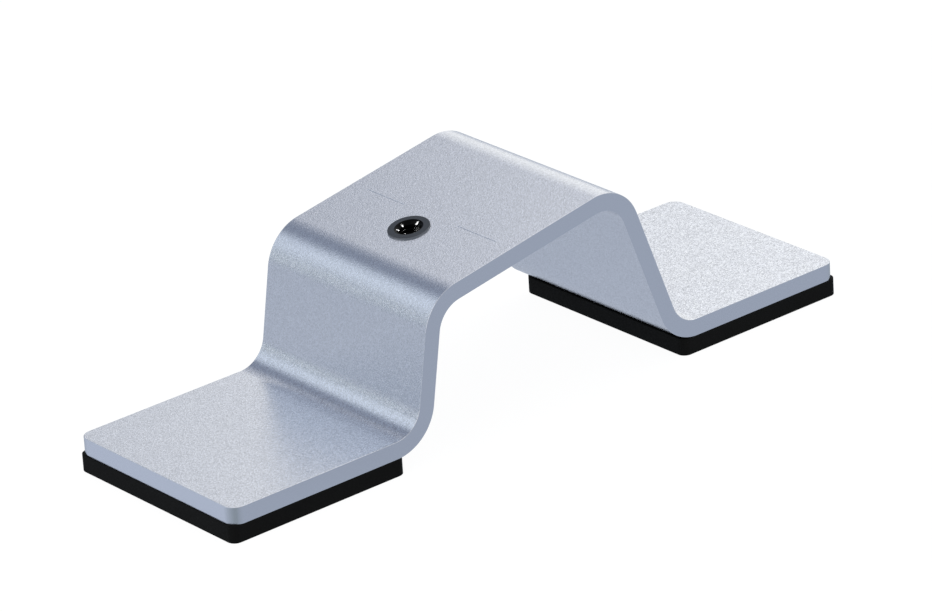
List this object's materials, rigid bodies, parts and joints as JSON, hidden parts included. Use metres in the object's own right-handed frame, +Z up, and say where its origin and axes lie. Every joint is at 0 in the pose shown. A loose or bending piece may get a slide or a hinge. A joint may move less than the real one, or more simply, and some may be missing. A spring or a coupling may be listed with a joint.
{
  "type": "solar rail support",
  "caption": "Folded metal strip with a tilted flat roof between two feet on rubber pads, and a flanged threaded insert in the roof for bolting a mounting rail.",
  "frame": {"origin": "on the ground, below the middle of the whole support's box", "axes": "+X along the support, from the foot on the low side of the roof to the foot on the high side; +Y across the strip; +Z up"},
  "size_m": [0.2594, 0.08, 0.0686],
  "materials": {
    "bracket_metal": "fine bead-blasted, satin",
    "pad_rubber": "smooth matte moulded sheet",
    "insert_black": "black plated steel, matte flange, glossy bore"
  },
  "bodies": {
    "root": {"bracket": "bracket_metal", "left_pad": "pad_rubber", "right_pad": "pad_rubber", "threaded_insert": "insert_black"}
  },
  "joints": []
}
